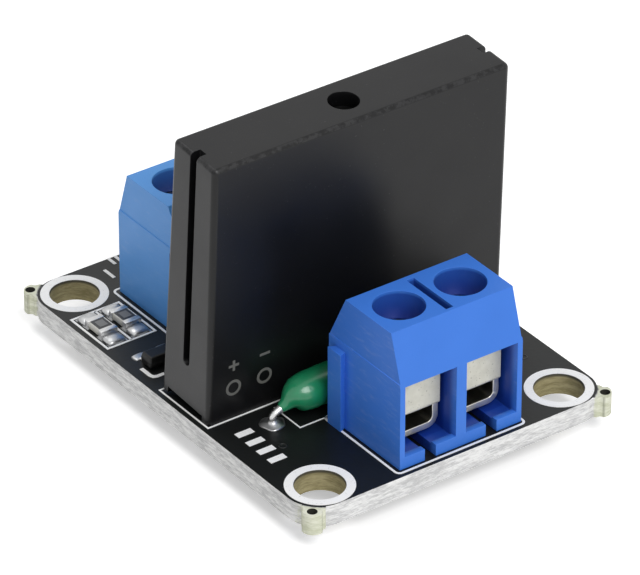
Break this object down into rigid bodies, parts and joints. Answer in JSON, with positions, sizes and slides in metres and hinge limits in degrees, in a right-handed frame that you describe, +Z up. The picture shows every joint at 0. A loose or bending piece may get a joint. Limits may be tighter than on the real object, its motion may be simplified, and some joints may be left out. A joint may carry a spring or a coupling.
{
  "type": "relay module board",
  "caption": "Small black circuit board with a slim upright relay, blue screw terminals at front and back, an axial fuse and chip parts; the clamp screws raise their clamps.",
  "frame": {"origin": "centre of the four mounting holes, on the underside of the board", "axes": "+X right along the board's front edge seen from the output side, -Y towards the output terminal, +Z up out of the board"},
  "size_m": [0.0256, 0.0348, 0.0237],
  "materials": {
    "board_laminate": "glass-fibre laminate with black solder mask, semi-gloss",
    "relay_plastic": "moulded black plastic, fine satin texture",
    "relay_resin": "cast black resin",
    "tinned_pins": "tinned copper alloy",
    "terminal_plastic": "moulded blue plastic, satin",
    "tinned_contacts": "tin-plated brass sheet, matt",
    "clamp_screws": "zinc-plated steel",
    "clamp_steel": "nickel-plated steel strip",
    "fuse_coating": "dipped green coating, glossy",
    "chip_ceramic": "ceramic with a dark overcoat",
    "chip_caps": "tinned end caps",
    "transistor_plastic": "moulded black plastic",
    "light_lens": "clear moulded lens",
    "solder": "bright solder"
  },
  "bodies": {
    "board": {"circuit_board": "board_laminate", "relay_case": "relay_plastic", "relay_resin": "relay_resin", "relay_pin_1": "tinned_pins", "relay_pin_2": "tinned_pins", "relay_pin_3": "tinned_pins", "relay_pin_4": "tinned_pins", "output_terminal_housing": "terminal_plastic", "output_contact_1": "tinned_contacts", "output_contact_2": "tinned_contacts", "input_terminal_housing": "terminal_plastic", "input_contact_1": "tinned_contacts", "input_contact_2": "tinned_contacts", "input_contact_3": "tinned_contacts", "fuse_body": "fuse_coating", "fuse_lead_left": "tinned_pins", "fuse_lead_right": "tinned_pins", "chip_resistor_1": "chip_ceramic", "chip_resistor_2": "chip_ceramic", "chip_caps_1": "chip_caps", "chip_caps_2": "chip_caps", "transistor_body": "transistor_plastic", "transistor_leads": "tinned_pins", "status_light": "light_lens", "status_light_caps": "chip_caps", "pin_solder": "solder", "top_solder": "solder"},
    "output_screw_1": {"output_screw_1": "clamp_screws"},
    "output_clamp_1": {"output_clamp_1": "clamp_steel"},
    "output_screw_2": {"output_screw_2": "clamp_screws"},
    "output_clamp_2": {"output_clamp_2": "clamp_steel"},
    "input_screw_1": {"input_screw_1": "clamp_screws"},
    "input_clamp_1": {"input_clamp_1": "clamp_steel"},
    "input_screw_2": {"input_screw_2": "clamp_screws"},
    "input_clamp_2": {"input_clamp_2": "clamp_steel"},
    "input_screw_3": {"input_screw_3": "clamp_screws"},
    "input_clamp_3": {"input_clamp_3": "clamp_steel"}
  },
  "joints": [
    {"name": "output_clamp_1_rise", "type": "slide", "parent": "board", "child": "output_clamp_1", "axis": [0, 0, 1], "range_m": [-0.00018, 0.00135]},
    {"name": "output_screw_1_turn", "type": "hinge", "parent": "board", "child": "output_screw_1", "pos_m": [0.00289, -0.0127, 0.0095], "axis": [0, 0, 1], "range_deg": [-1080.5, 144.5]},
    {"name": "output_clamp_2_rise", "type": "slide", "parent": "board", "child": "output_clamp_2", "axis": [0, 0, 1], "range_m": [-0.00018, 0.00135]},
    {"name": "output_screw_2_turn", "type": "hinge", "parent": "board", "child": "output_screw_2", "pos_m": [-0.00219, -0.0127, 0.0095], "axis": [0, 0, 1], "range_deg": [-1080.5, 144.5]},
    {"name": "input_clamp_1_rise", "type": "slide", "parent": "board", "child": "input_clamp_1", "axis": [0, 0, 1], "range_m": [-0.00018, 0.00135]},
    {"name": "input_screw_1_turn", "type": "hinge", "parent": "board", "child": "input_screw_1", "pos_m": [-0.00473, 0.00935, 0.0095], "axis": [0, 0, 1], "range_deg": [-1080.5, 144.5]},
    {"name": "input_clamp_2_rise", "type": "slide", "parent": "board", "child": "input_clamp_2", "axis": [0, 0, 1], "range_m": [-0.00018, 0.00135]},
    {"name": "input_screw_2_turn", "type": "hinge", "parent": "board", "child": "input_screw_2", "pos_m": [0.00035, 0.00935, 0.0095], "axis": [0, 0, 1], "range_deg": [-1080.5, 144.5]},
    {"name": "input_clamp_3_rise", "type": "slide", "parent": "board", "child": "input_clamp_3", "axis": [0, 0, 1], "range_m": [-0.00018, 0.00135]},
    {"name": "input_screw_3_turn", "type": "hinge", "parent": "board", "child": "input_screw_3", "pos_m": [0.00543, 0.00935, 0.0095], "axis": [0, 0, 1], "range_deg": [-1080.5, 144.5]}
  ],
  "couplings": [
    {"joint": "output_screw_1_turn", "follows": "output_clamp_1_rise", "rad_per_m": -13963},
    {"joint": "output_screw_2_turn", "follows": "output_clamp_2_rise", "rad_per_m": -13963},
    {"joint": "input_screw_1_turn", "follows": "input_clamp_1_rise", "rad_per_m": -13963},
    {"joint": "input_screw_2_turn", "follows": "input_clamp_2_rise", "rad_per_m": -13963},
    {"joint": "input_screw_3_turn", "follows": "input_clamp_3_rise", "rad_per_m": -13963}
  ]
}
